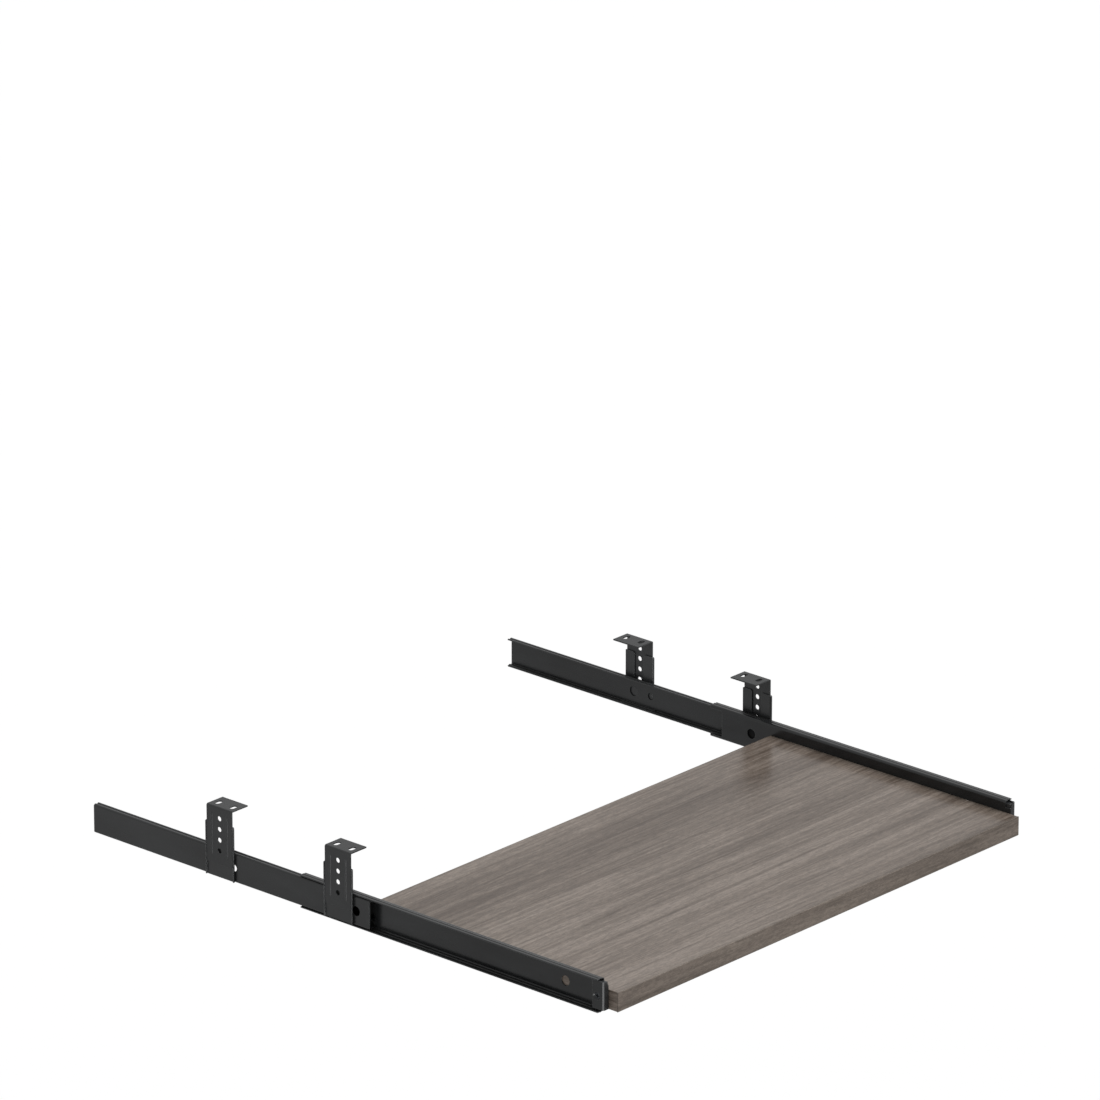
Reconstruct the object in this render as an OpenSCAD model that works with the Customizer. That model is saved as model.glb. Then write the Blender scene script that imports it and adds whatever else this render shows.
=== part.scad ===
// Pull-out keyboard tray that hangs under a desk.
// A laminated board sits between two ball slides, and each slide hangs from two
// brackets that adjust for height. The front is -Y and up is +Z. z = 0 is the
// underside of the desk, and the origin is the middle of the desk screw pattern.
// The tray is drawn pulled right out, at the height that the brackets are set to.

/* [Tray board] */
// Width of the board, from one tray channel to the other
board_w = 560; // [400:5:800]
// Depth of the board, front to back
board_d = 305; // [240:5:320]
// Thickness of the board
board_t = 19; // [16:1:22]
// Thickness of the decor face on the top and bottom
skin_t = 0.4; // [0.2:0.1:0.8]
// Thickness of the edge band
band_t = 1; // [0.6:0.2:2]
// Radius of the eased edge on the bands
ease_r = 0.8; // [0.3:0.1:1]
// Height of the board's top face above the middle line of the slides
board_rise = 5.2; // [3:0.1:8]
// How far the board stands out in front of the channels
board_nose = 10.5; // [2:0.5:30]

/* [Fixed rail] */
// Length of the rail that hangs from the brackets
rail_len = 350; // [320:5:450]
// Height of the rail
rail_h = 28.5; // [26:0.5:29]
// Width of the rail's flanges, from its outer face to their tips
rail_flange = 6.6; // [6.2:0.1:6.8]
// Thickness of the rail's sheet
rail_t = 1.1; // [0.9:0.1:1.2]
// Height of the gap between a rail flange and the channel flange that wraps it
race_gap = 0.8; // [0.7:0.05:1]
// Width of a whole slide, from the board's edge to the rail's outer face
slide_w = 9.4; // [9.3:0.1:9.7]
// How far the middle line of the slides lies below the desk
slide_drop = 56.2; // [54:0.2:60]
// Length of the rail in front of the front brackets' middle
rail_nose = 37; // [30:1:50]
// Length of the pressed ledge behind each bracket
ledge_len = 42; // [30:1:50]
// Width of the pressed ledge behind each bracket
ledge_w = 2.1; // [1:0.1:2.5]
// Thickness of the pressed ledge
ledge_t = 1.2; // [0.8:0.1:1.5]
// Diameter of the access hole behind each bracket
bracket_hole_d = 10; // [6:0.5:11]
// Diameter of the access hole in front of the rear bracket
rear_nose_hole_d = 7; // [5:0.5:9]
// Diameter of the access hole in front of the front bracket
front_nose_hole_d = 9.5; // [6:0.5:10]
// Width of the lip that the web is folded into at the rail's front end
rail_lip = 2; // [1.2:0.1:2.5]

/* [Tray channel] */
// Length of the channel's flanges
channel_len = 364; // [340:0.5:420]
// Width of the channel, from the board's edge to its flange edges
channel_w = 9; // [8.6:0.1:9.2]
// Thickness of the channel's sheet
channel_t = 1.1; // [0.9:0.1:1.2]
// Radius outside the bend between web and flange
channel_bend_r = 2.2; // [1.6:0.1:2.6]
// Length of channel and rail that lie inside each other when pulled right out
overlap_len = 86.5; // [85:0.5:120]
// Length of the cut in the web at the rear end
tail_cut = 14.5; // [8:0.1:16]
// Diameter of the two screwdriver holes in the web
web_hole_d = 10; // [6:0.5:14]
// Distance of the rear screwdriver hole from the channel's rear end
web_hole_rear = 51.5; // [42:0.5:70]
// Distance of the front screwdriver hole from the flanges' front end
web_hole_front = 45.5; // [30:0.5:80]

/* [Front hook] */
// Height of the hook that is folded round the channel's front end
hook_h = 27.6; // [23:0.2:28]
// How far the hook's middle lies above the middle line of the slides
hook_rise = 0.8; // [0:0.1:1]
// How far the hook stands out in front of the flanges
hook_nose = 6; // [4.5:0.1:8]
// Length of the hook, from its front face to its free edge
hook_len = 13.5; // [13:0.5:18]
// Radius outside the hook's outer bend
hook_bend_r = 2.3; // [2:0.1:3.6]
// Depth of the notch at the top of the web, through to the hook's face
hook_notch = 4.6; // [1:0.1:5]

/* [Balls and cages] */
// Diameter of a ball
ball_d = 2.4; // [2:0.1:2.6]
// Balls in each race
balls_per_race = 9; // [5:1:9]
// Distance from ball to ball
ball_pitch = 7; // [5:0.5:7]
// Distance of the races from the board's edge
race_in = 5.3; // [5.1:0.1:5.5]
// Thickness of the cage's sheet
cage_t = 0.5; // [0.3:0.05:0.55]

/* [Brackets] */
// Distance between the two brackets of a slide
bracket_pitch = 149; // [120:1:180]
// Width of a hanger plate, along the slide
hanger_w = 32; // [30:0.2:40]
// Height of a hanger plate
hanger_h = 56.7; // [54:0.1:60]
// Length of the hanger's desk flange, from its outer face
hanger_flange = 21.5; // [18:0.5:30]
// Thickness of the hanger's sheet
hanger_t = 1.2; // [1:0.1:2]
// Cut corner at the foot of the hanger
hanger_corner = 1.5; // [1:0.5:4]
// Diameter of the height holes
lock_hole_d = 5; // [4:0.5:7]
// Distance from height hole to height hole
lock_pitch = 10.6; // [9:0.1:11]
// Number of height holes in a hanger
lock_holes = 4; // [2:1:4]
// Distance of the first height hole below the desk
lock_first = 11.3; // [9:0.1:13]
// Length of a desk screw slot
slot_len = 8.5; // [7:0.5:13]
// Width of a desk screw slot
slot_w = 5; // [4.2:0.1:6]
// Distance between the two slots of a hanger
slot_pitch = 18.6; // [16:0.2:20]
// Distance of the slots' middle from the hanger's outer face
slot_set = 9.5; // [8.5:0.1:11]
// Distance of the two stiffening beads from each other
bead_pitch = 19.2; // [16:0.2:24]
// Thickness of the sleeve's sheet
sleeve_t = 1; // [0.8:0.1:1.4]
// Height of the sleeve
sleeve_h = 54; // [48:0.2:56]
// Width of the open slot in the sleeve
sleeve_slot_w = 11.2; // [8:0.2:13]
// Depth of the open slot in the sleeve
sleeve_slot_h = 34; // [28:1:38]

/* [Tray screws] */
// Diameter of the screw shank
screw_d = 3.5; // [3:0.5:4.5]
// Diameter of the countersunk head
screw_head_d = 6; // [5:0.5:7]
// Length of the rear screws
screw_rear_len = 25; // [18:1:40]
// Length of the front screws, which also go through the hook and the bumper
screw_front_len = 32; // [26:1:45]
// Distance of the rear screws from the board's back edge
screw_rear_set = 7.5; // [6:0.5:8]
// Distance of the front screws from the hook's front face
screw_front_set = 8.3; // [7:0.1:8.5]

/* [Hidden] */
$fn = 48;
// small overshoot of a cut past the face that it opens
cut = 1;
// small overlap that joins two shapes into one
join = 0.1;

// play between a ball and its race, and between a screw and its bore
race_play = 0.05;
screw_play = 0.05;
// play of the hanger plate in its sleeve, across the sheet and along the slide
plate_play = 0.05;
edge_play = 0.7;
// how far the sleeve's sides stand out past the hanger's face
side_rise = 0.2;
// play of the cage against its two stops, and of the cage's web beside the channel
stop_play = 0.4;
cage_play = 0.55;
// room round the bumper inside the hook
bumper_play = 0.4;

// places along Y
rail_front_y = -bracket_pitch / 2 - rail_nose;
rail_rear_y = rail_front_y + rail_len;
channel_rear_y = rail_front_y + overlap_len;
channel_front_y = channel_rear_y - channel_len;
hook_front_y = channel_front_y - hook_nose;
board_front_y = hook_front_y - board_nose;
board_back_y = board_front_y + board_d;

// places along X, for the right side; the left side is its mirror image
edge_x = board_w / 2;
rail_out_x = edge_x + slide_w;
hanger_in_x = rail_out_x + sleeve_t + plate_play;
hanger_out_x = hanger_in_x + hanger_t;
race_x = edge_x + race_in;
// the hook's outer face lies a little inside the flange edges
hook_in = 1.2;
hook_w = channel_w - hook_in;
// width of the notch: through the web and the bend, into the hook's face
notch_w = 1.9;
// cut corner of the hook's face above the notch
hook_corner = 2.8;

// places along Z
slide_z = -slide_drop;
board_top_z = slide_z + board_rise;
board_bottom_z = board_top_z - board_t;
channel_h = rail_h + 2 * race_gap + 2 * channel_t;
race_z = rail_h / 2 + race_gap / 2;
hook_z = slide_z + hook_rise;
sleeve_bottom_z = slide_z - rail_h / 2 + 0.5;
sleeve_top_z = sleeve_bottom_z + sleeve_h;

// the two stops that the cage runs between, and the cage that fits between them
tongue_reach = 6.5;
tongue_h = 19;
// height of channel web that is left above and below the cut at the rear end
tail_rim = 3.2;
tongue_front_y = channel_rear_y - tail_cut - channel_t;
ear_set = 7.5;
ear_rear_y = rail_front_y + ear_set;
ear_len = 2;
ear_reach = 1.05;
cage_len = tongue_front_y - ear_rear_y - 2 * stop_play;
cage_mid_y = (tongue_front_y + ear_rear_y) / 2;
cage_in_x = edge_x + channel_t + cage_play;
cage_arm = 5.4;

// sheet left round the races where they are pressed in
crest_t = 0.65;
trough_t = 0.95;
race_r = ball_d / 2 + race_play;

// access holes in the rail: [y, diameter], each set from its bracket's middle
bracket_hole_set = 5.5;
rear_nose_set = 16.1;
front_nose_set = 20.4;
rail_holes = [[bracket_pitch / 2 + bracket_hole_set, bracket_hole_d],
    [bracket_hole_set - bracket_pitch / 2, bracket_hole_d],
    [bracket_pitch / 2 - rear_nose_set, rear_nose_hole_d],
    [-bracket_pitch / 2 - front_nose_set, front_nose_hole_d]];

// the ledge reaches further forward than back from each bracket's middle
ledge_mid_y = -2.2;

// bends and corners of the small sheet parts
rail_bend_r = 1.8;
hook_web_r = 1.5;
// height of the web's lip at the rail's front end
lip_h = rail_h - 2 * rail_bend_r;
hanger_bend_r = 1.6;
sleeve_wall = sleeve_t + plate_play + hanger_t + side_rise;
sleeve_half_w = hanger_w / 2 + edge_play + sleeve_t;
sleeve_corner_r = 1.2;
sleeve_top_r = 2;
sleeve_mouth_r = 2.5;
bead_r = 1.6;
bead_proud = 0.5;
// distance of a bead's two round ends from the hanger's top and foot
bead_top = 8.2;
bead_foot = 8.8;

// tray screws: [y, z, x of the head's face, length]
head_sink = 1.1;
screw_r = screw_d / 2;
head_r = screw_head_d / 2;
head_h = head_r - screw_r;
screw_tip = 4;
head_way = 6;
cross_len = 3.6;
cross_w = 0.9;
cross_depth = 1.3;
front_screw_rise = -0.6;
rear_screw = [board_back_y - screw_rear_set, (board_top_z + board_bottom_z) / 2,
    edge_x + channel_t, screw_rear_len];
front_screw = [hook_front_y + screw_front_set, slide_z + front_screw_rise,
    edge_x + hook_w - head_sink, screw_front_len];
// sheet pressed in round the front screw's head
dish_r = head_r + 1.5;
dish_h = 1.5;

// the bumper inside the hook
bumper_in_x = edge_x + channel_t;
bumper_w = hook_w - 2 * channel_t;
bumper_rear_y = hook_front_y + hook_len + 1;
bumper_inset = 1.3;
bumper_h = min(hook_h - 2 * bumper_inset, channel_h - 2 * (channel_bend_r + hook_rise));
pad_h = channel_h - 2 * channel_t - bumper_play;
pad_len = 4;

steel = "#35373a";
dark_steel = "#2a2b2d";
rubber = "#161718";
decor = "#857a74";
chip = "#b89b76";
zinc = "#9a9da0";
chrome = "#c9ccd0";

// mirrors to the left side where side is -1
module on_side(side) {
    if (side < 0) mirror([1, 0, 0]) children();
    else children();
}

// runs a section drawn in X and Z from y = rear to y = front
module run_along_y(rear, front) {
    translate([0, rear, 0]) rotate([90, 0, 0]) linear_extrude(rear - front) children();
}

// gives a shape drawn in Y and Z a thickness along X
module stand_along_x(x, thickness) {
    translate([x, 0, 0]) rotate([90, 0, 90]) linear_extrude(thickness) children();
}

// rectangle with four round corners
module round_rect(x0, x1, y0, y1, r) {
    translate([x0 + r, y0]) square([x1 - x0 - 2 * r, y1 - y0]);
    translate([x0, y0 + r]) square([x1 - x0, y1 - y0 - 2 * r]);
    for (x = [x0 + r, x1 - r], y = [y0 + r, y1 - r]) translate([x, y]) circle(r);
}

// what a bend or an eased edge takes off the corner of a square, up and to the right
module corner_waste(r) {
    difference() {
        square([r + cut, r + cut]);
        circle(r);
    }
}

// section of a board edge band, from its outer face inwards
module band_section() {
    difference() {
        translate([0, board_bottom_z]) square([band_t, board_t]);
        translate([ease_r, board_top_z - ease_r]) mirror([1, 0]) corner_waste(ease_r);
        translate([ease_r, board_bottom_z + ease_r]) rotate(180) corner_waste(ease_r);
    }
}

// countersunk screw along +Z, with its head's face at z = 0
module screw_body(len) {
    difference() {
        union() {
            cylinder(h = head_h, r1 = head_r, r2 = screw_r);
            cylinder(h = len - screw_tip, r = screw_r);
            translate([0, 0, len - screw_tip]) cylinder(h = screw_tip, r1 = screw_r, r2 = 0.4);
        }
        for (turn = [0, 90]) rotate([0, 0, turn])
            translate([-cross_len / 2, -cross_w / 2, -cut])
                cube([cross_len, cross_w, cut + cross_depth]);
    }
}

// the hole that a screw needs, open past its head
module screw_bore(len) {
    translate([0, 0, -head_way]) cylinder(h = head_way + join / 10, r = head_r + screw_play);
    cylinder(h = head_h, r1 = head_r + screw_play, r2 = screw_r + screw_play);
    cylinder(h = len + screw_play, r = screw_r + screw_play);
}

// puts a screw or its bore at one of the two places on the right side
module at_screw(place) {
    translate([place[2], place[0], place[1]]) rotate([0, -90, 0]) children();
}

module both_bores() {
    at_screw(rear_screw) screw_bore(rear_screw[3]);
    at_screw(front_screw) screw_bore(front_screw[3]);
}

// particle board core, between the two faces and the four bands
module board_core() {
    color(chip) difference() {
        translate([-edge_x + band_t, board_front_y + band_t, board_bottom_z + skin_t])
            cube([board_w - 2 * band_t, board_d - 2 * band_t, board_t - 2 * skin_t]);
        for (side = [-1, 1]) on_side(side) both_bores();
    }
}

// decor paper face, top or bottom, inside the bands
module board_face(z) {
    color(decor) translate([-edge_x + band_t, board_front_y + band_t, z])
        cube([board_w - 2 * band_t, board_d - 2 * band_t, skin_t]);
}

// long band over the whole front edge
module front_edge_band() {
    color(decor) translate([-edge_x, board_front_y, 0]) rotate([90, 0, 90])
        linear_extrude(board_w) band_section();
}

// long band over the whole back edge
module back_edge_band() {
    color(decor) translate([edge_x, board_back_y, 0]) rotate([90, 0, -90])
        linear_extrude(board_w) band_section();
}

// short band on a side edge, between the long ones
module side_edge_band(side) {
    color(decor) on_side(side) difference() {
        translate([edge_x, 0, 0]) mirror([1, 0, 0])
            run_along_y(board_back_y - band_t, board_front_y + band_t) band_section();
        both_bores();
    }
}

// section of the tray channel: web on the board's side, flanges outward,
// with a ball race pressed up into each flange
module channel_section() {
    difference() {
        union() {
            round_rect(0, 2 * channel_w, -channel_h / 2, channel_h / 2, channel_bend_r);
            for (v = [-1, 1]) translate([race_in, v * race_z]) circle(race_r + crest_t);
        }
        round_rect(channel_t, 3 * channel_w, channel_t - channel_h / 2,
            channel_h / 2 - channel_t, channel_bend_r - channel_t);
        for (v = [-1, 1]) translate([race_in, v * race_z]) circle(race_r);
        translate([channel_w, -channel_h]) square([3 * channel_w, 2 * channel_h]);
    }
}

// plan of the hook at the channel's front end: web, front face and free edge
module hook_plan() {
    wall = hook_w - channel_t;
    difference() {
        square([hook_w, hook_len]);
        translate([channel_t, channel_t]) square([hook_w - 2 * channel_t, hook_len]);
        translate([hook_w - hook_bend_r, hook_bend_r]) rotate(-90) corner_waste(hook_bend_r);
        translate([hook_web_r, hook_web_r]) rotate(180) corner_waste(hook_web_r);
    }
    difference() {
        translate([wall - hook_bend_r, channel_t - join])
            square([hook_bend_r + join, hook_bend_r]);
        translate([wall - hook_bend_r + channel_t, hook_bend_r]) circle(hook_bend_r - channel_t);
        translate([wall - hook_bend_r - cut, hook_bend_r]) square([hook_bend_r + 2 * cut, cut + channel_t]);
        translate([wall - hook_bend_r - cut, channel_t])
            square([channel_t + cut, hook_bend_r + cut]);
    }
}

// channel that is screwed to the board's edge and wraps the fixed rail
module tray_channel(side) {
    web_holes = [channel_rear_y - web_hole_rear, channel_front_y + web_hole_front];
    color(steel) on_side(side) difference() {
        union() {
            translate([edge_x, 0, slide_z])
                run_along_y(channel_rear_y, channel_front_y) channel_section();
            translate([edge_x, hook_front_y, hook_z - hook_h / 2])
                linear_extrude(hook_h) hook_plan();
            translate([edge_x, tongue_front_y, slide_z - tongue_h / 2])
                cube([tongue_reach, channel_t, tongue_h]);
            at_screw(front_screw) translate([0, 0, channel_t - head_sink])
                cylinder(h = dish_h, r1 = dish_r, r2 = dish_r - dish_h);
        }
        translate([edge_x - cut, channel_rear_y - tail_cut, slide_z - channel_h / 2 + tail_rim])
            cube([cut + channel_t, tail_cut + cut, channel_h - 2 * tail_rim]);
        translate([edge_x - cut, hook_front_y - cut, hook_z + hook_h / 2 - hook_notch])
            cube([cut + notch_w, hook_nose + cut, hook_notch + channel_h / 2]);
        translate([edge_x + notch_w, 0, hook_z + hook_h / 2])
            run_along_y(hook_front_y + hook_bend_r, hook_front_y - cut)
                polygon([[-cut, -hook_corner], [0, -hook_corner], [hook_corner + cut, cut], [-cut, cut]]);
        for (y = web_holes) translate([edge_x - cut, y, slide_z]) rotate([0, 90, 0])
            cylinder(h = channel_t + 2 * cut, d = web_hole_d);
        at_screw(front_screw) translate([0, 0, -head_sink - cut])
            cylinder(h = head_sink + cut, r1 = head_r + screw_play + head_sink + cut,
                r2 = head_r + screw_play);
        both_bores();
    }
}

// rubber buffer in the hook: the rail's front end meets it when the tray is shut
module front_bumper(side) {
    color(rubber) on_side(side) difference() {
        union() {
            translate([bumper_in_x, hook_front_y + channel_t, hook_z - bumper_h / 2])
                cube([bumper_w, bumper_rear_y - hook_front_y - channel_t, bumper_h]);
            translate([bumper_in_x, 0, slide_z])
                run_along_y(bumper_rear_y, bumper_rear_y - pad_len)
                    round_rect(0, bumper_w, -pad_h / 2, pad_h / 2, channel_bend_r - channel_t);
        }
        translate([edge_x + hook_w - hook_bend_r, hook_front_y + hook_bend_r, slide_z - channel_h])
            linear_extrude(2 * channel_h) rotate(-90)
                corner_waste(hook_bend_r - channel_t - bumper_play);
        at_screw(front_screw) translate([0, 0, channel_t - head_sink - cut])
            cylinder(h = dish_h + cut + join, r1 = dish_r + cut + join, r2 = dish_r - dish_h + join);
        both_bores();
    }
}

// the two wood screws of one side
module tray_screws(side) {
    color(dark_steel) on_side(side) {
        at_screw(rear_screw) screw_body(rear_screw[3]);
        at_screw(front_screw) screw_body(front_screw[3]);
    }
}

// section of the fixed rail: web outside, flanges inward, a race pressed into each
module rail_section() {
    difference() {
        union() {
            difference() {
                round_rect(-slide_w, slide_w, -rail_h / 2, rail_h / 2, rail_bend_r);
                round_rect(-2 * slide_w, slide_w - rail_t, rail_t - rail_h / 2,
                    rail_h / 2 - rail_t, rail_bend_r - rail_t);
            }
            intersection() {
                for (v = [-1, 1]) translate([race_in, v * race_z]) circle(race_r + trough_t);
                translate([0, -rail_h / 2]) square([slide_w, rail_h]);
            }
        }
        for (v = [-1, 1]) translate([race_in, v * race_z]) circle(race_r);
        translate([-3 * slide_w, -rail_h]) square([4 * slide_w - rail_flange, 2 * rail_h]);
    }
}

// fixed rail with its access holes, the ledges behind the brackets, the lip at its front
// end and the cage stops
module fixed_rail(side) {
    tip_x = rail_out_x - rail_flange;
    color(steel) on_side(side) difference() {
        union() {
            translate([edge_x, 0, slide_z]) run_along_y(rail_rear_y, rail_front_y) rail_section();
            for (y = [-bracket_pitch / 2, bracket_pitch / 2])
                translate([rail_out_x - rail_t - ledge_w, y + ledge_mid_y - ledge_len / 2,
                    slide_z - rail_h / 2 + rail_t - join])
                    cube([ledge_w + join, ledge_len, ledge_t + join]);
            translate([rail_out_x - rail_lip, rail_front_y, slide_z - lip_h / 2])
                cube([rail_lip - rail_t / 2, rail_t, lip_h]);
            for (v = [-1, 1])
                translate([tip_x - ear_reach, ear_rear_y - ear_len,
                    slide_z + v * (rail_h - rail_t) / 2 - rail_t / 2])
                    cube([ear_reach + 3 * join, ear_len, rail_t]);
        }
        for (hole = rail_holes)
            translate([rail_out_x - rail_t - cut, hole[0], slide_z]) rotate([0, 90, 0])
                cylinder(h = rail_t + 2 * cut, d = hole[1]);
    }
}

// pressed cage that spaces the balls of both races of one slide
module ball_cage(side) {
    color(zinc) on_side(side) difference() {
        union() {
            translate([cage_in_x, cage_mid_y - cage_len / 2, slide_z - race_z - cage_t / 2])
                cube([cage_t, cage_len, 2 * race_z + cage_t]);
            for (v = [-1, 1])
                translate([cage_in_x, cage_mid_y - cage_len / 2, slide_z + v * race_z - cage_t / 2])
                    cube([cage_arm, cage_len, cage_t]);
        }
        for (v = [-1, 1], i = [0 : balls_per_race - 1])
            translate([race_x, ball_y(i), slide_z + v * race_z])
                cylinder(h = 2 * cage_t, r = race_r, center = true);
    }
}

function ball_y(i) = cage_mid_y + (i - (balls_per_race - 1) / 2) * ball_pitch;

// the balls of both races of one slide
module balls(side) {
    color(chrome) on_side(side)
        for (v = [-1, 1], i = [0 : balls_per_race - 1])
            translate([race_x, ball_y(i), slide_z + v * race_z]) sphere(d = ball_d);
}

// lower half of a bracket: an open sleeve spot-welded to the rail's outer face,
// with its long sides turned out along the edges of the hanger
module sleeve(side, y) {
    color(steel) on_side(side) translate([0, y, 0]) intersection() {
        translate([rail_out_x, 0, sleeve_bottom_z]) linear_extrude(sleeve_h) difference() {
            translate([0, -sleeve_half_w]) square([sleeve_wall, 2 * sleeve_half_w]);
            translate([sleeve_t, sleeve_t - sleeve_half_w])
                square([sleeve_wall, 2 * (sleeve_half_w - sleeve_t)]);
            translate([sleeve_corner_r, sleeve_half_w - sleeve_corner_r])
                rotate(90) corner_waste(sleeve_corner_r);
            translate([sleeve_corner_r, sleeve_corner_r - sleeve_half_w])
                rotate(180) corner_waste(sleeve_corner_r);
        }
        stand_along_x(rail_out_x - cut, sleeve_wall + 2 * cut) difference() {
            translate([-sleeve_half_w, sleeve_bottom_z]) square([2 * sleeve_half_w, sleeve_h]);
            for (v = [0, 1]) mirror([v, 0]) {
                translate([sleeve_half_w - sleeve_top_r, sleeve_top_z - sleeve_top_r])
                    corner_waste(sleeve_top_r);
                translate([sleeve_slot_w / 2 + sleeve_mouth_r, sleeve_top_z - sleeve_mouth_r])
                    mirror([1, 0]) corner_waste(sleeve_mouth_r);
            }
            round_rect(-sleeve_slot_w / 2, sleeve_slot_w / 2, sleeve_top_z - sleeve_slot_h,
                sleeve_top_z + 2 * sleeve_top_r, sleeve_top_r);
        }
    }
}

// stiffening bead pressed out of the hanger's outer face, with round ends
module bead(y) {
    intersection() {
        translate([hanger_out_x + bead_proud - bead_r, y, 0]) {
            translate([0, 0, bead_foot - hanger_h])
                cylinder(h = hanger_h - bead_foot - bead_top, r = bead_r);
            for (z = [bead_foot - hanger_h, -bead_top]) translate([0, 0, z]) sphere(bead_r);
        }
        translate([hanger_out_x - hanger_t / 2, y - 2 * bead_r, -hanger_h])
            cube([2 * bead_r, 4 * bead_r, hanger_h]);
    }
}

// upper half of a bracket: a bent hanger with slots for the desk screws, a column of
// height holes and two stiffening beads
module hanger(side, y) {
    color(steel) on_side(side) translate([0, y, 0]) difference() {
        union() {
            stand_along_x(hanger_in_x, hanger_t) difference() {
                polygon([[-hanger_w / 2, 0], [-hanger_w / 2, hanger_corner - hanger_h],
                    [hanger_corner - hanger_w / 2, -hanger_h],
                    [hanger_w / 2 - hanger_corner, -hanger_h],
                    [hanger_w / 2, hanger_corner - hanger_h], [hanger_w / 2, 0]]);
                for (i = [0 : lock_holes - 1])
                    translate([0, -lock_first - i * lock_pitch]) circle(d = lock_hole_d);
            }
            translate([hanger_out_x - hanger_flange, -hanger_w / 2, -hanger_t])
                cube([hanger_flange, hanger_w, hanger_t]);
            for (v = [-1, 1]) bead(v * bead_pitch / 2);
        }
        translate([hanger_out_x - hanger_bend_r, hanger_w / 2 + cut, -hanger_bend_r])
            rotate([90, 0, 0]) linear_extrude(hanger_w + 2 * cut) corner_waste(hanger_bend_r);
        for (v = [-1, 1]) translate([hanger_out_x - slot_set, v * slot_pitch / 2, -hanger_t - cut])
            linear_extrude(hanger_t + 2 * cut) {
                square([slot_len - slot_w, slot_w], center = true);
                for (u = [-1, 1]) translate([u * (slot_len - slot_w) / 2, 0]) circle(d = slot_w);
            }
    }
}

board_core();
board_face(board_top_z - skin_t);  // board_top_face
board_face(board_bottom_z);  // board_bottom_face
front_edge_band();
back_edge_band();
side_edge_band(-1);  // left_edge_band
side_edge_band(1);  // right_edge_band
tray_channel(-1);  // tray_channel_left
tray_channel(1);  // tray_channel_right
front_bumper(-1);  // front_bumper_left
front_bumper(1);  // front_bumper_right
tray_screws(-1);  // tray_screws_left
tray_screws(1);  // tray_screws_right
fixed_rail(-1);  // fixed_rail_left
fixed_rail(1);  // fixed_rail_right
ball_cage(-1);  // ball_cage_left
ball_cage(1);  // ball_cage_right
balls(-1);  // balls_left
balls(1);  // balls_right
sleeve(-1, bracket_pitch / 2);  // sleeve_rear_left
sleeve(1, bracket_pitch / 2);  // sleeve_rear_right
sleeve(-1, -bracket_pitch / 2);  // sleeve_front_left
sleeve(1, -bracket_pitch / 2);  // sleeve_front_right
hanger(-1, bracket_pitch / 2);  // hanger_rear_left
hanger(1, bracket_pitch / 2);  // hanger_rear_right
hanger(-1, -bracket_pitch / 2);  // hanger_front_left
hanger(1, -bracket_pitch / 2);  // hanger_front_right
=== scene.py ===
import bpy
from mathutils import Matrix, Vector

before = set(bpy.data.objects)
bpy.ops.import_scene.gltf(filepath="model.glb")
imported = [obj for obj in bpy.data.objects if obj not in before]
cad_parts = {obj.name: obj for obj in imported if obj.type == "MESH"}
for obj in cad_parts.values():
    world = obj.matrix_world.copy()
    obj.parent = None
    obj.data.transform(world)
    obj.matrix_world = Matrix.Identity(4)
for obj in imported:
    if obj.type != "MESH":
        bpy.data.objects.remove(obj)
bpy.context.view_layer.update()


# Studio. A wide pale floor and a pale surround light the tray evenly, and one far, soft lamp
# shines from the front, the right and above. A bright sheet and a softer card lie on the
# floor at the left. The camera stands far off at the front left with a long lens.

def feed(tree, node, feeds):
    """Feeds a node's inputs, each with a plain value or with another node's output."""
    for socket, value in feeds.items():
        if isinstance(value, bpy.types.NodeSocket):
            tree.links.new(value, node.inputs[socket])
        else:
            node.inputs[socket].default_value = value


def add_node(tree, kind, feeds=None, **settings):
    """Adds a shader node with its settings and its feeds."""
    new = tree.nodes.new("ShaderNode" + kind)
    for name, value in settings.items():
        setattr(new, name, value)
    feed(tree, new, feeds or {})
    return new


def calc(tree, operation, first, second):
    """Output of one Math node."""
    return add_node(tree, "Math", {0: first, 1: second}, operation=operation).outputs[0]


def remap(tree, value, low, high, to_low=0.0, to_high=1.0):
    """Spreads a part of a value's range over another range, and clamps it."""
    return add_node(tree, "MapRange", {0: value, 1: low, 2: high, 3: to_low, 4: to_high}).outputs[0]


def bare_tree(owner):
    """The node tree of a material or of the surround, emptied."""
    owner.use_nodes = True
    owner.node_tree.nodes.clear()
    return owner.node_tree


def rays(tree):
    """Masks of the eye's rays, straight or through a clear piece, and of the rays of gloss."""
    path = add_node(tree, "LightPath").outputs
    return calc(tree, "MAXIMUM", path["Is Camera Ray"], path["Is Transmission Ray"]), path["Is Glossy Ray"]


def floor_glow(tree, spot, place, fade, glow, around):
    """Light of a round sheet on the floor. At its edge it fades into the light around it."""
    away = add_node(tree, "VectorMath", {0: spot, 1: place}, operation="DISTANCE").outputs["Value"]
    return remap(tree, away, *fade, glow, around)


PLAIN_WHITE = (1.0, 1.0, 1.0, 1.0)
FLOOR_Z = -0.62
FLOOR_HALF = 30.0
FLOOR_SHADE = (0.55, 0.55, 0.55, 1.0)
FLOOR_LIFT = 1.46         # what tops the floor up to white for the eye
FLOOR_GLOSS_LIFT = 0.69   # and to a pale grey for gloss
LIFT_SHARE = 0.5          # the other half of the floor is its own lit shade
SHEET_PLACE = (-1.5, -1.35, FLOOR_Z)
SHEET_FADE = (0.8, 1.2)   # where its soft edge starts and ends, from its middle
SHEET_GLOW = 9.0          # the bright sheet at the front left, which gloss alone sees
CARD_PLACE = (-1.9, 1.6, FLOOR_Z)
CARD_FADE = (0.4, 1.0)
CARD_GLOW = 0.8           # the softer card at the back left, again for gloss alone
SURROUND_FILL = 0.46      # light that the surround gives
SURROUND_GLOSS = 0.75     # how bright gloss sees it
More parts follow.
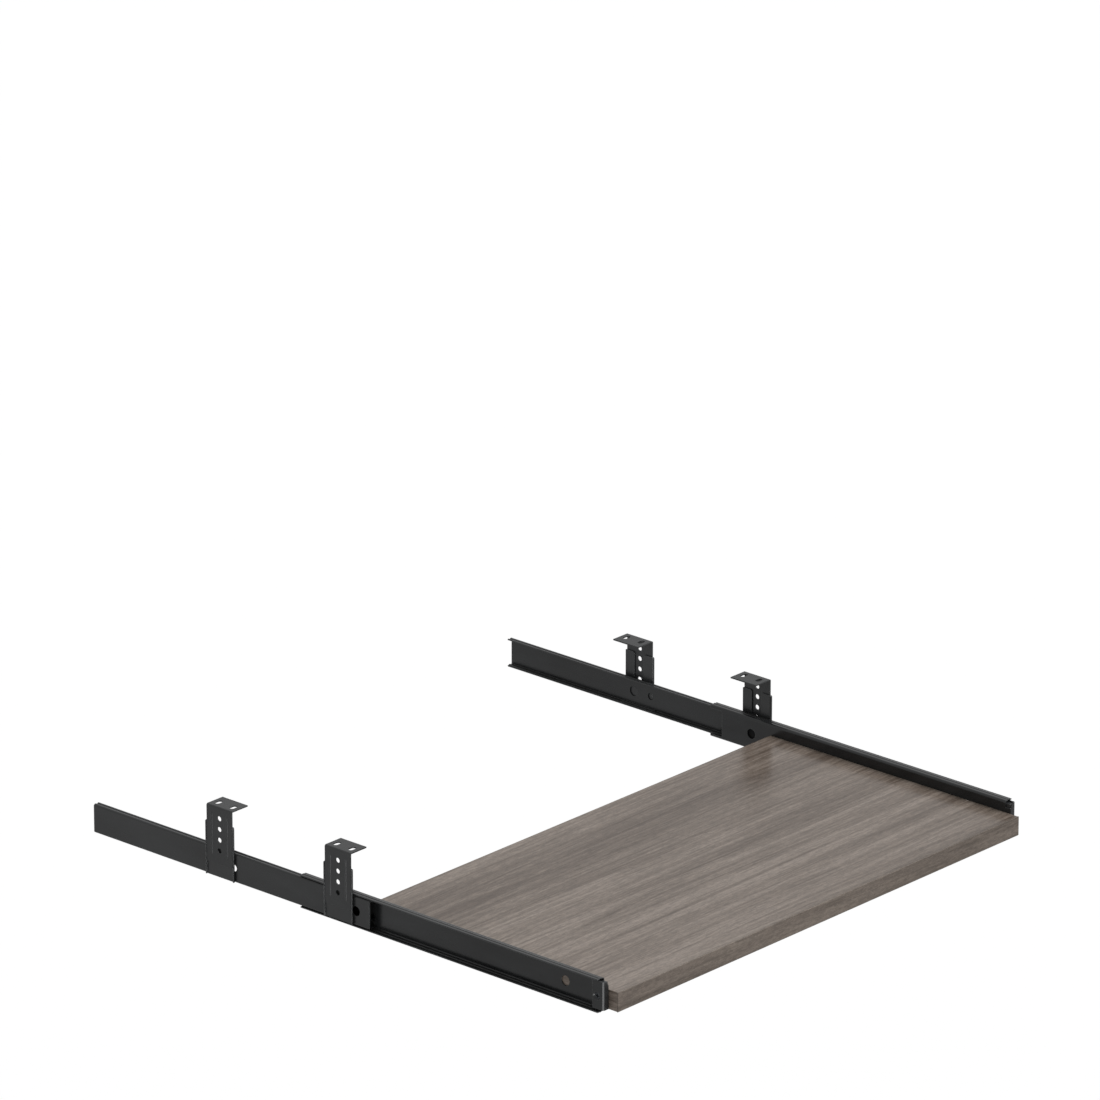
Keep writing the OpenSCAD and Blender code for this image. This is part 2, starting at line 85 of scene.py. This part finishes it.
SURROUND_WHITE = 1.0      # how bright the eye sees it

floor_corners = [(x * FLOOR_HALF, y * FLOOR_HALF, FLOOR_Z) for x, y in ((-1, -1), (1, -1), (1, 1), (-1, 1))]
floor_mesh = bpy.data.meshes.new("studio_floor")
floor_mesh.from_pydata(floor_corners, [], [(0, 1, 2, 3)])
floor = bpy.data.objects.new("studio_floor", floor_mesh)
bpy.context.scene.collection.objects.link(floor)

floor_paint = bpy.data.materials.new("studio_floor_paint")
tree = bare_tree(floor_paint)
eye, glossy = rays(tree)
spot = add_node(tree, "TexCoord").outputs["Object"]
sheet = floor_glow(tree, spot, SHEET_PLACE, SHEET_FADE, SHEET_GLOW, FLOOR_GLOSS_LIFT)
card = floor_glow(tree, spot, CARD_PLACE, CARD_FADE, CARD_GLOW, 0.0)
lift = calc(tree, "ADD", calc(tree, "MULTIPLY", eye, FLOOR_LIFT),
            calc(tree, "MULTIPLY", glossy, calc(tree, "ADD", sheet, card)))
matt = add_node(tree, "BsdfDiffuse", {"Color": FLOOR_SHADE}).outputs[0]
glow = add_node(tree, "Emission", {"Color": PLAIN_WHITE, "Strength": lift}).outputs[0]
share = calc(tree, "MULTIPLY", calc(tree, "MAXIMUM", eye, glossy), LIFT_SHARE)
both = add_node(tree, "MixShader", {0: share, 1: matt, 2: glow}).outputs[0]
add_node(tree, "OutputMaterial", {"Surface": both})
floor_mesh.materials.append(floor_paint)

surround = bpy.data.worlds.new("studio_surround")
bpy.context.scene.world = surround
tree = bare_tree(surround)
eye, glossy = rays(tree)
fill, gloss, white = [add_node(tree, "Background", {"Color": PLAIN_WHITE, "Strength": strength}).outputs[0]
                      for strength in (SURROUND_FILL, SURROUND_GLOSS, SURROUND_WHITE)]
lit = add_node(tree, "MixShader", {0: glossy, 1: fill, 2: gloss}).outputs[0]
both = add_node(tree, "MixShader", {0: eye, 1: lit, 2: white}).outputs[0]
add_node(tree, "OutputWorld", {"Surface": both})

LAMP_WAY = Vector((0.353, -0.544, 0.763))
LAMP_AWAY = 3.0
soft_lamp = bpy.data.lights.new("soft_lamp", "SUN")
soft_lamp.energy = 2.22
soft_lamp.angle = 0.85
lamp = bpy.data.objects.new("soft_lamp", soft_lamp)
lamp.location = LAMP_WAY * LAMP_AWAY
lamp.rotation_euler = LAMP_WAY.to_track_quat("Z", "Y").to_euler()
bpy.context.scene.collection.objects.link(lamp)

EYE_PLACE = Vector((-6.3885, -5.8284, 3.4505))
EYE_AIM = Vector((0.0644, -0.0135, 0.1750))
long_lens = bpy.data.cameras.new("camera")
long_lens.sensor_width = 36.0
long_lens.lens = 326.49
long_lens.clip_end = 100.0
camera = bpy.data.objects.new("camera", long_lens)
camera.location = EYE_PLACE
camera.rotation_euler = (EYE_AIM - EYE_PLACE).to_track_quat("-Z", "Y").to_euler()
bpy.context.scene.collection.objects.link(camera)
bpy.context.scene.camera = camera
bpy.context.scene.view_settings.view_transform = "Standard"


# Board faces. Printed decor paper in a grey-brown walnut, pressed on the top and bottom of
# the board under a clear satin resin. The grain runs from side to side.

def shade(hex_code):
    """Linear colour of a paint code."""
    parts = [int(hex_code[i:i + 2], 16) / 255 for i in (1, 3, 5)]
    return tuple(p / 12.92 if p <= 0.04045 else ((p + 0.055) / 1.055) ** 2.4 for p in parts) + (1.0,)


def new_finish(name):
    """A new material: itself, its node tree, the piece's own coordinate and its surface node."""
    made = bpy.data.materials.new(name)
    made.use_nodes = True
    tree = made.node_tree
    return made, tree, add_node(tree, "TexCoord").outputs["Object"], tree.nodes["Principled BSDF"]


def new_group(name, inputs, outputs):
    """A shader node group with named sockets: its tree, its inputs and its output node."""
    group = bpy.data.node_groups.new(name, "ShaderNodeTree")
    for way, sockets in (("INPUT", inputs), ("OUTPUT", outputs)):
        for label, kind in sockets.items():
            group.interface.new_socket(label, in_out=way, socket_type="NodeSocket" + kind)
    return group, group.nodes.new("NodeGroupInput").outputs, group.nodes.new("NodeGroupOutput")


def mix_colour(tree, amount, low, high, mode="MIX"):
    """Output of one colour Mix node. Its two colours are its sockets 6 and 7."""
    feeds = {0: amount, 6: low, 7: high}
    return add_node(tree, "Mix", feeds, data_type="RGBA", blend_type=mode).outputs[2]


def stretch(tree, vector, scale, shift=(0.0, 0.0, 0.0)):
    """Scales and shifts a coordinate."""
    return add_node(tree, "Mapping", {"Vector": vector, "Scale": scale, "Location": shift}).outputs[0]


def noise(tree, vector, marks, detail=2.0, rough=0.5, bend=0.0, shift=(0.0, 0.0, 0.0)):
    """Value of a noise with so many marks to the metre along X, Y and Z."""
    feeds = {"Vector": stretch(tree, vector, marks, shift), "Scale": 1.0, "Detail": detail,
             "Roughness": rough, "Distortion": bend}
    return add_node(tree, "TexNoise", feeds).outputs["Fac"]


def swing(tree, value, low, high):
    """Spreads the usual range of a noise, 0.3 to 0.7, over another range."""
    return remap(tree, value, 0.3, 0.7, low, high)


def bump(tree, height, strength, distance, normal=None):
    """Output of one Bump node."""
    feeds = {"Height": height, "Strength": strength, "Distance": distance}
    if normal is not None:
        feeds["Normal"] = normal
    return add_node(tree, "Bump", feeds).outputs[0]


def dress(material, *names):
    """Gives CAD nodes a material, in place of the one that they were packed with."""
    for name in names:
        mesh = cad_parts[name].data
        mesh.materials.clear()
        mesh.materials.append(material)


BROAD_MARKS = (1.1, 13.0, 13.0)       # to the metre, along the grain and across it
DRIFT_MARKS = (1.0, 4.5, 4.5)
STREAK_MARKS = (3.0, 105.0, 105.0)
FIGURE_MARKS = (0.75, 8.5, 8.5)
FIBRE_MARKS = (120.0, 380.0, 380.0)
PORE_MARKS = (12.0, 300.0, 300.0)
BROAD_SHARE = 0.50
STREAK_SHARE = 0.80
FIGURE_SHARE = 0.05
DRIFT_SHARE = 0.20
TONE_DARK = 0.635                     # where the tone is all dark, middle and light
TONE_MIDDLE = 0.775
TONE_LIGHT = 0.915
FIBRE_TINT = (0.38, 0.62, 0.0, 1.9)   # a part of the noise, and what it becomes
PORE_INK = (0.58, 0.72, 0.0, 0.6)
PORE_DEPTH = (0.64, 0.72, 0.0, 0.8)

grain, g_in, g_out = new_group(
    "decor_grain",
    {"Vector": "Vector", "Dark": "Color", "Middle": "Color", "Light": "Color", "Fibre": "Float"},
    {"Color": "Color", "Fibre": "Float", "Height": "Float"})
broad = noise(grain, g_in["Vector"], BROAD_MARKS, bend=0.5)
drift = noise(grain, g_in["Vector"], DRIFT_MARKS, shift=(3.1, 0.7, 0.0))
streak = noise(grain, g_in["Vector"], STREAK_MARKS, detail=5.0, rough=0.88, bend=1.2, shift=(0.0, 5.0, 0.0))
fibre = noise(grain, g_in["Vector"], FIBRE_MARKS, detail=3.0, rough=0.85, bend=0.5)
pores = noise(grain, g_in["Vector"], PORE_MARKS, rough=0.7, bend=0.3, shift=(0.0, 2.0, 0.0))
figure_feeds = {"Vector": stretch(grain, g_in["Vector"], FIGURE_MARKS, (0.4, 0.3, 0.0)), "Scale": 1.0,
                "Distortion": 9.0, "Detail": 3.0, "Detail Scale": 1.3, "Detail Roughness": 0.6}
figure = add_node(grain, "TexWave", figure_feeds, wave_type="BANDS", bands_direction="Y").outputs["Fac"]
tone = calc(grain, "MULTIPLY", broad, BROAD_SHARE)
for layer, part in ((streak, STREAK_SHARE), (figure, FIGURE_SHARE), (drift, DRIFT_SHARE)):
    tone = calc(grain, "ADD", tone, calc(grain, "MULTIPLY", layer, part))
lower = mix_colour(grain, remap(grain, tone, TONE_DARK, TONE_MIDDLE), g_in["Dark"], g_in["Middle"])
body = mix_colour(grain, remap(grain, tone, TONE_MIDDLE, TONE_LIGHT), lower, g_in["Light"])
fibred = mix_colour(grain, g_in["Fibre"], body, remap(grain, fibre, *FIBRE_TINT), "MULTIPLY")
pored = mix_colour(grain, remap(grain, pores, *PORE_INK), fibred, g_in["Dark"])
height = calc(grain, "SUBTRACT", fibre, remap(grain, pores, *PORE_DEPTH))
feed(grain, g_out, {"Color": pored, "Fibre": fibre, "Height": height})

ALONG_X = 0.0                         # turns of the grain
ALONG_Y = 1.5708
FIBRE_SHOW = 0.2
RESIN_IOR = 1.35
FACE_ROUGH = 0.2                      # the faces shine a little more than the bands
BAND_ROUGH = 0.24
ROUGH_SPREAD = 0.06


def decor(name, turn, rough, dark, middle, light, shift=0.0):
    """Decor under clear resin. turn sets the way of the grain, and shift moves it on."""
    made, tree, spot, skin = new_finish(name)
    turned = add_node(tree, "VectorRotate", {"Vector": spot, "Angle": turn}, rotation_type="Z_AXIS")
    moved = stretch(tree, turned.outputs[0], (1.0, 1.0, 1.0), (0.0, shift, 0.0))
    feeds = {"Vector": moved, "Dark": shade(dark), "Middle": shade(middle), "Light": shade(light),
             "Fibre": FIBRE_SHOW}
    look = add_node(tree, "Group", feeds, node_tree=grain).outputs
    feed(tree, skin, {"IOR": RESIN_IOR, "Base Color": look["Color"],
                      "Roughness": swing(tree, look["Fibre"], rough, rough + ROUGH_SPREAD),
                      "Normal": bump(tree, look["Height"], strength=0.25, distance=0.00003)})
    return made


dress(decor("decor_face", ALONG_X, FACE_ROUGH, dark="#554a42", middle="#70655c", light="#877c73"),
      "board_top_face", "board_bottom_face")


# Edge bands. Thin decor tape, ironed on round the board's four edges and eased along its
# long corners. On the sides its grain runs from front to back.

# Front and back bands: the decor colours are painted darker and flatter than on the faces, as painted
# shade.
dress(decor("long_edge_band_painted_darker", ALONG_X, BAND_ROUGH, dark="#584f47", middle="#6a6058", light="#786e65",
            shift=0.37),
      "front_edge_band", "back_edge_band")
# Side bands: the decor colours are painted lighter than on the faces, as painted light.
dress(decor("short_edge_band_painted_lighter", ALONG_Y, BAND_ROUGH, dark="#63584f", middle="#867a70", light="#9e9187",
            shift=0.11),
      "left_edge_band", "right_edge_band")


# Board core. Raw particle board: pale wood chips, pressed together in darker glue. The faces
# and the bands cover it, and it is open only down the screw holes.

CHIP_MARKS = (420.0, 420.0, 900.0)
CRUMB_MARKS = (1500.0, 1500.0, 1500.0)

chipboard, tree, spot, skin = new_finish("chipboard")
chips = add_node(tree, "TexVoronoi", {"Vector": stretch(tree, spot, CHIP_MARKS), "Scale": 1.0}).outputs
crumbs = noise(tree, spot, CRUMB_MARKS, detail=3.0, rough=0.6)
chip_tone = add_node(tree, "SeparateColor", {"Color": chips["Color"]}).outputs[0]
wood_tone = mix_colour(tree, chip_tone, shade("#8f7552"), shade("#cdb48e"))
glue = remap(tree, chips["Distance"], 0.35, 0.75, 0.0, 0.7)
feed(tree, skin, {"Base Color": mix_colour(tree, glue, wood_tone, shade("#6b5335")),
                  "Roughness": swing(tree, crumbs, 0.75, 0.95),
                  "Normal": bump(tree, crumbs, strength=0.6, distance=0.0003)})
dress(chipboard, "board_core")


# Tray channels. Cold-rolled steel strip, pressed with its ball races and folded round at
# the front, then coated in smooth black. A screw at each end holds them to the board.

CLOUD_MARKS = (28.0, 9.0, 28.0)          # to the metre: where the coat is thicker and thinner
PEEL_MARKS = (900.0, 900.0, 900.0)       # its fine ripple
GRIT_MARKS = (2600.0, 2600.0, 2600.0)    # specks caught in it
CLOUD_SHOW = 0.2
GRIT_SHOW = 0.25
EDGE_FADE = (0.985, 0.86)                # how far a corner turns before its coat thins out and is lightened as a painted highlight
WALL_FADE = (0.8, 0.5)                   # how little open air paints shade beside a wall
TOP_FADE = (0.1, 0.7, 0.2, 1.0)          # and how far up the face has to look for it
GAP_FADE = (0.55, 0.25)                  # how little open air paints shade in a gap on any face
# Painted shade: the near black that fills crevices and wall feet, and the roughness added there.
PAINTED_SHADE_BLACK = (0.005, 0.005, 0.005, 1.0)
PAINTED_SHADE_ROUGH = 0.6

# The coat's colour carries painted light: its edges are lightened as a painted highlight as well as wear,
# and its crevices are darkened as painted shade.
coat, c_in, c_out = new_group(
    "smooth_black_coat",
    {"Vector": "Vector", "Black": "Color", "Thin And Highlit": "Color", "Roughness": "Float",
     "Edge Radius": "Float", "Painted Shade Amount": "Float", "Reach": "Float"},
    {"Color": "Color", "Roughness": "Float", "Height": "Float", "Normal": "Vector"})
cloud = noise(coat, c_in["Vector"], CLOUD_MARKS, detail=4.0, rough=0.6)
peel = noise(coat, c_in["Vector"], PEEL_MARKS)
grit = noise(coat, c_in["Vector"], GRIT_MARKS, detail=1.0, shift=(1.0, 2.0, 3.0))
rounded = add_node(coat, "Bevel", {"Radius": c_in["Edge Radius"]}, samples=6).outputs[0]
flat = add_node(coat, "NewGeometry").outputs["Normal"]
facing = add_node(coat, "VectorMath", {0: rounded, 1: flat}, operation="DOT_PRODUCT").outputs["Value"]
edge = remap(coat, facing, *EDGE_FADE)
# Edges turn toward the thin colour: partly the coat worn thin there, partly a painted highlight.
thin_and_highlit_edge = calc(coat, "MULTIPLY", edge, remap(coat, cloud, 0.35, 0.62, 0.35, 1.0))
open_air = add_node(coat, "AmbientOcclusion", {"Distance": c_in["Reach"]}, samples=8).outputs["AO"]
upward = add_node(coat, "SeparateXYZ", {"Vector": flat}).outputs["Z"]
# Painted shade: where little open air is found, on upward faces beside walls and in any deep gap, the
# colour darkens toward near black.
shade_spots = calc(coat, "MULTIPLY", remap(coat, open_air, *WALL_FADE), remap(coat, upward, *TOP_FADE))
shade_spots = calc(coat, "MAXIMUM", shade_spots, remap(coat, open_air, *GAP_FADE))
painted_shade = calc(coat, "MULTIPLY", shade_spots, c_in["Painted Shade Amount"])
toned = mix_colour(coat, swing(coat, cloud, 0.0, CLOUD_SHOW), c_in["Black"], c_in["Thin And Highlit"])
coated = mix_colour(coat, thin_and_highlit_edge, toned, c_in["Thin And Highlit"])
haze = calc(coat, "ADD", c_in["Roughness"], swing(coat, cloud, -0.03, 0.05))
haze = calc(coat, "ADD", haze, calc(coat, "MULTIPLY", painted_shade, PAINTED_SHADE_ROUGH))
feed(coat, c_out, {"Color": mix_colour(coat, painted_shade, coated, PAINTED_SHADE_BLACK),
                   "Roughness": calc(coat, "ADD", haze, remap(coat, grit, 0.62, 0.75, 0.0, 0.1)),
                   "Height": calc(coat, "ADD", peel, calc(coat, "MULTIPLY", grit, GRIT_SHOW)),
                   "Normal": rounded})


def coated_steel(name, black, thin_and_highlit, rough, edge_radius, ior, painted_shade_amount, reach):
    """Smooth black coat over pressed steel, lighter at its edges where it is worn thin and painted with a
    highlight, and darkened with painted shade in its crevices.
    """
    made, tree, spot, skin = new_finish(name)
    feeds = {"Vector": spot, "Black": shade(black), "Thin And Highlit": shade(thin_and_highlit), "Roughness": rough,
             "Edge Radius": edge_radius, "Painted Shade Amount": painted_shade_amount, "Reach": reach}
    look = add_node(tree, "Group", feeds, node_tree=coat).outputs
    relief = bump(tree, look["Height"], strength=0.12, distance=0.00004, normal=look["Normal"])
    feed(tree, skin, {"IOR": ior, "Base Color": look["Color"], "Roughness": look["Roughness"],
                      "Normal": relief})
    return made


dress(coated_steel("channel_coat", "#0f1011", "#56585a", rough=0.17, edge_radius=0.0008, ior=1.43,
                   painted_shade_amount=1.0, reach=0.024),
      "tray_channel_left", "tray_channel_right")


# Buffers. Moulded black rubber blocks in the folded front ends of the channels, held there
# by the front screws. The tray stops on them when it is pushed right in.

BLOOM_MARKS = (160.0, 160.0, 160.0)
PIT_MARKS = (2200.0, 2200.0, 2200.0)

rubber, tree, spot, skin = new_finish("buffer_rubber")
bloom = noise(tree, spot, BLOOM_MARKS, detail=4.0, rough=0.6)
pits = noise(tree, spot, PIT_MARKS)
bloomed = remap(tree, bloom, 0.35, 0.7)
feed(tree, skin, {"Base Color": mix_colour(tree, bloomed, shade("#242526"), shade("#3c3d3e")),
                  "Roughness": swing(tree, bloom, 0.22, 0.38),
                  "Normal": bump(tree, pits, strength=0.4, distance=0.0001)})
dress(rubber, "front_bumper_left", "front_bumper_right")


# Tray screws. Countersunk cross-head wood screws in black zinc, two to a side. They hold
# the channels to the side edges of the board, and the front ones go through the buffers.

PLATE_MARKS = (700.0, 700.0, 700.0)

screw_zinc, tree, spot, skin = new_finish("black_zinc")
plate = noise(tree, spot, PLATE_MARKS, detail=3.0, rough=0.6)
plated = swing(tree, plate, 0.0, 1.0)
feed(tree, skin, {"Metallic": 0.85,
                  "Base Color": mix_colour(tree, plated, shade("#242628"), shade("#4b4d50")),
                  "Roughness": swing(tree, plate, 0.28, 0.45),
                  "Normal": bump(tree, plate, strength=0.2, distance=0.00005)})
dress(screw_zinc, "tray_screws_left", "tray_screws_right")


# Fixed rails. Pressed from the same steel strip as the channels and coated in the same
# black. They hang from the brackets, and the channels run on them.

dress(coated_steel("rail_coat", "#1a1b1c", "#56585a", rough=0.24, edge_radius=0.0006, ior=1.44,
                   painted_shade_amount=1.0, reach=0.024),
      "fixed_rail_left", "fixed_rail_right")


# Ball cages. Thin phosphated strip with a row of punched pockets, dark with grease. They
# lie inside the slides and hold the balls apart.

ROLLED_MARKS = (1800.0, 25.0, 1800.0)
SMEAR_MARKS = (140.0, 60.0, 140.0)
PHOSPHATE_IOR = 1.2
GREASE_SMOOTHS = 0.35

cage_strip, tree, spot, skin = new_finish("phosphated_strip")
rolled = noise(tree, spot, ROLLED_MARKS, detail=3.0, rough=0.6)
smear = noise(tree, spot, SMEAR_MARKS, detail=4.0, rough=0.6)
greased = remap(tree, smear, 0.48, 0.62)
phosphate = mix_colour(tree, swing(tree, rolled, 0.0, 1.0), shade("#0b0c0d"), shade("#17181a"))
smoothed = calc(tree, "MULTIPLY", greased, GREASE_SMOOTHS)
feed(tree, skin, {"IOR": PHOSPHATE_IOR,
                  "Base Color": mix_colour(tree, greased, phosphate, shade("#100d09")),
                  "Roughness": calc(tree, "SUBTRACT", swing(tree, rolled, 0.6, 0.8), smoothed),
                  "Normal": bump(tree, rolled, strength=0.3, distance=0.00003)})
dress(cage_strip, "ball_cage_left", "ball_cage_right")


# Balls. Polished bearing steel, wet with grease. They sit in the pockets of the cages and
# roll between the races of the rails and the channels.

FILM_MARKS = (600.0, 600.0, 600.0)

ball_steel, tree, spot, skin = new_finish("ball_steel")
film = noise(tree, spot, FILM_MARKS, detail=3.0, rough=0.6)
greased = remap(tree, film, 0.45, 0.65)
feed(tree, skin, {"Metallic": 1.0,
                  "Base Color": mix_colour(tree, greased, shade("#d2d4d6"), shade("#a89a78")),
                  "Roughness": remap(tree, film, 0.35, 0.65, 0.06, 0.2)})
dress(ball_steel, "balls_left", "balls_right")


# Sleeves. Pressed steel, spot-welded to the rails. Their turned-out edges guide the
# hangers, and the open slot lets the height screws through.

places = [end + "_" + side for end in ("rear", "front") for side in ("left", "right")]
# The sleeves' lighter thin colour paints brighter highlights along their turned-out edges.
dress(coated_steel("sleeve_coat", "#1b1c1d", "#606264", rough=0.32, edge_radius=0.0008, ior=1.48,
                   painted_shade_amount=0.4, reach=0.012),
      *["sleeve_" + place for place in places])


# Hangers. Pressed steel angles that screw up into the desk through two slots each. The
# column of holes sets the height, and two long beads stiffen the plate.

dress(coated_steel("hanger_coat", "#1b1c1d", "#56585a", rough=0.4, edge_radius=0.0003, ior=1.48,
                   painted_shade_amount=0.4, reach=0.012),
      *["hanger_" + place for place in places])
